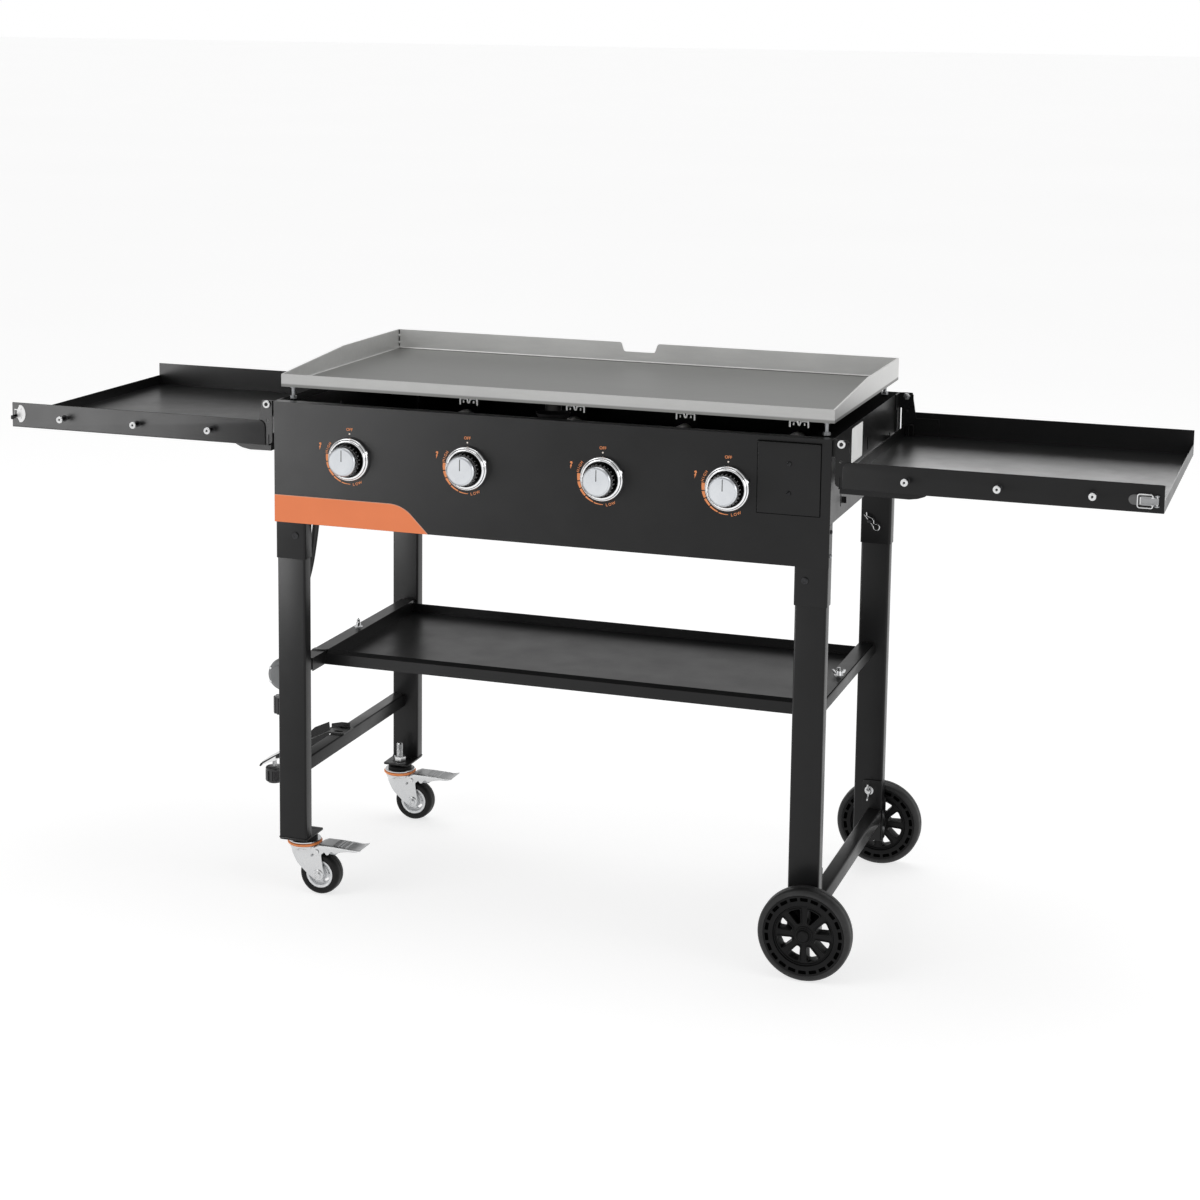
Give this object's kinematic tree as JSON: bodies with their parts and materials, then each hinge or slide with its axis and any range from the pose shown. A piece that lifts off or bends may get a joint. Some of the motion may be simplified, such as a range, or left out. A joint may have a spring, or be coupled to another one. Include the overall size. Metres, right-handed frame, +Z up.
{
  "type": "outdoor gas griddle station",
  "caption": "Outdoor gas griddle station: flat steel plate over a black firebox on legs with casters and wheels, folding side shelves that close as a lid, and a bottom shelf.",
  "frame": {"origin": "on the ground, under the middle of the body", "axes": "+X to the right along the cooking surface, +Y from the user to the back, +Z up"},
  "size_m": [1.89, 0.579, 0.892],
  "materials": {
    "griddle_steel": "brushed rolled steel",
    "black_coat": "fine matte powder coat",
    "zinc": "zinc plated",
    "stainless": "satin",
    "bezel_chrome": "polished",
    "knob_black": "satin black skirt with a silver cap",
    "brass": "machined",
    "cast_alloy": "die cast",
    "grey_coat": "grey powder coat",
    "caster_rubber": "matte",
    "caster_rim": "satin",
    "wheel_plastic": "fine grained",
    "hose_rubber": "smooth",
    "aluminised": "dull sheet",
    "ceramic": "glazed ceramic"
  },
  "bodies": {
    "station": {"griddle_posts": "zinc", "front_panel": "black_coat", "side_panel_right": "black_coat", "side_panel_left": "black_coat", "rear_panel": "black_coat", "firebox_floor": "aluminised", "leg_sockets": "black_coat", "leg_front_left": "black_coat", "leg_rear_left": "black_coat", "leg_front_right": "black_coat", "leg_rear_right": "black_coat", "leg_pins": "zinc", "crossbars_upper": "black_coat", "crossbar_lower_left": "black_coat", "crossbar_lower_right": "black_coat", "bottom_shelf": "black_coat", "wing_nuts": "zinc", "knob_bezels": "bezel_chrome", "gas_valves": "cast_alloy", "gas_manifold": "zinc", "burners": "stainless", "burner_rail": "aluminised", "igniter_electrodes": "ceramic", "accessory_plate": "black_coat", "caster_stems": "zinc", "axle_bolts": "zinc", "hinge_bolts": "zinc", "tank_arm": "black_coat", "grease_chute": "aluminised", "gas_hose": "hose_rubber", "regulator": "grey_coat"},
    "griddle": {"griddle_plate": "griddle_steel"},
    "right_shelf": {"side_shelf_right": "black_coat", "tool_hooks_right": "zinc", "latch_base": "zinc"},
    "left_shelf": {"side_shelf_left": "black_coat", "tool_hooks_left": "zinc", "strike_plate": "zinc"},
    "lever": {"latch_lever": "zinc"},
    "bail": {"latch_bail": "zinc"},
    "tank_screw": {"tank_clamp_screw": "knob_black"},
    "cup": {"grease_cup": "black_coat"},
    "front_wheel": {"wheel_front": "wheel_plastic"},
    "rear_wheel": {"wheel_rear": "wheel_plastic"},
    "valve_1": {"valve_stem_1": "brass"},
    "knob_1": {"knob_1": "knob_black"},
    "valve_2": {"valve_stem_2": "brass"},
    "knob_2": {"knob_2": "knob_black"},
    "valve_3": {"valve_stem_3": "brass"},
    "knob_3": {"knob_3": "knob_black"},
    "valve_4": {"valve_stem_4": "brass"},
    "knob_4": {"knob_4": "knob_black"},
    "fork_front": {"caster_fork_front": "zinc"},
    "caster_front": {"caster_rim_front": "caster_rim", "caster_tyre_front": "caster_rubber"},
    "pedal_front": {"brake_pedal_front": "zinc"},
    "fork_rear": {"caster_fork_rear": "zinc"},
    "caster_rear": {"caster_rim_rear": "caster_rim", "caster_tyre_rear": "caster_rubber"},
    "pedal_rear": {"brake_pedal_rear": "zinc"}
  },
  "joints": [
    {"name": "griddle_lift", "type": "slide", "parent": "station", "child": "griddle", "axis": [0, 0, -1], "range_m": [-0.12, 0]},
    {"name": "right_shelf_fold", "type": "hinge", "parent": "station", "child": "right_shelf", "pos_m": [0.473, 0, 0.828], "axis": [0, -1, 0], "range_deg": [0, 180]},
    {"name": "left_shelf_fold", "type": "hinge", "parent": "station", "child": "left_shelf", "pos_m": [-0.473, 0, 0.828], "axis": [0, 1, 0], "range_deg": [0, 180]},
    {"name": "latch_lever_swing", "type": "hinge", "parent": "right_shelf", "child": "lever", "pos_m": [0.935, -0.2515, 0.778], "axis": [0, 0, 1], "range_deg": [0, 120]},
    {"name": "latch_bail_swing", "type": "hinge", "parent": "lever", "child": "bail", "pos_m": [0.929, -0.2555, 0.778], "axis": [0, 0, -1], "range_deg": [-180, 0]},
    {"name": "tank_screw_turn", "type": "hinge", "parent": "station", "child": "tank_screw", "pos_m": [-0.572, -0.028, 0.15], "axis": [0, 0, 1], "range_deg": [0, 720]},
    {"name": "grease_cup_pull", "type": "slide", "parent": "station", "child": "cup", "axis": [0, -1, 0], "range_m": [0, 0.17]},
    {"name": "front_wheel_roll", "type": "hinge", "parent": "station", "child": "front_wheel", "pos_m": [0.443, -0.272, 0.073], "axis": [0, 1, 0], "continuous": true},
    {"name": "rear_wheel_roll", "type": "hinge", "parent": "station", "child": "rear_wheel", "pos_m": [0.443, 0.272, 0.073], "axis": [0, 1, 0], "continuous": true},
    {"name": "knob_1_turn", "type": "hinge", "parent": "station", "child": "valve_1", "pos_m": [-0.326, -0.25, 0.749], "axis": [0, -1, 0], "range_deg": [0, 210]},
    {"name": "knob_1_push", "type": "slide", "parent": "valve_1", "child": "knob_1", "axis": [0, 1, 0], "range_m": [0, 0.005], "stiffness_N_per_m": 900, "springref_m": -0.001},
    {"name": "knob_2_turn", "type": "hinge", "parent": "station", "child": "valve_2", "pos_m": [-0.124, -0.25, 0.749], "axis": [0, -1, 0], "range_deg": [0, 210]},
    {"name": "knob_2_push", "type": "slide", "parent": "valve_2", "child": "knob_2", "axis": [0, 1, 0], "range_m": [0, 0.005], "stiffness_N_per_m": 900, "springref_m": -0.001},
    {"name": "knob_3_turn", "type": "hinge", "parent": "station", "child": "valve_3", "pos_m": [0.1, -0.25, 0.749], "axis": [0, -1, 0], "range_deg": [0, 210]},
    {"name": "knob_3_push", "type": "slide", "parent": "valve_3", "child": "knob_3", "axis": [0, 1, 0], "range_m": [0, 0.005], "stiffness_N_per_m": 900, "springref_m": -0.001},
    {"name": "knob_4_turn", "type": "hinge", "parent": "station", "child": "valve_4", "pos_m": [0.3, -0.25, 0.749], "axis": [0, -1, 0], "range_deg": [0, 210]},
    {"name": "knob_4_push", "type": "slide", "parent": "valve_4", "child": "knob_4", "axis": [0, 1, 0], "range_m": [0, 0.005], "stiffness_N_per_m": 900, "springref_m": -0.001},
    {"name": "caster_front_swivel", "type": "hinge", "parent": "station", "child": "fork_front", "pos_m": [-0.4316, -0.199, 0.084], "axis": [0, 0, 1], "continuous": true},
    {"name": "caster_front_roll", "type": "hinge", "parent": "fork_front", "child": "caster_front", "pos_m": [-0.4006, -0.199, 0.035], "axis": [0, 1, 0], "continuous": true},
    {"name": "brake_front_press", "type": "hinge", "parent": "fork_front", "child": "pedal_front", "pos_m": [-0.4016, -0.199, 0.076], "axis": [0, 1, 0], "range_deg": [0, 12]},
    {"name": "caster_rear_swivel", "type": "hinge", "parent": "station", "child": "fork_rear", "pos_m": [-0.4316, 0.199, 0.084], "axis": [0, 0, 1], "continuous": true},
    {"name": "caster_rear_roll", "type": "hinge", "parent": "fork_rear", "child": "caster_rear", "pos_m": [-0.4006, 0.199, 0.035], "axis": [0, 1, 0], "continuous": true},
    {"name": "brake_rear_press", "type": "hinge", "parent": "fork_rear", "child": "pedal_rear", "pos_m": [-0.4016, 0.199, 0.076], "axis": [0, 1, 0], "range_deg": [0, 12]}
  ]
}
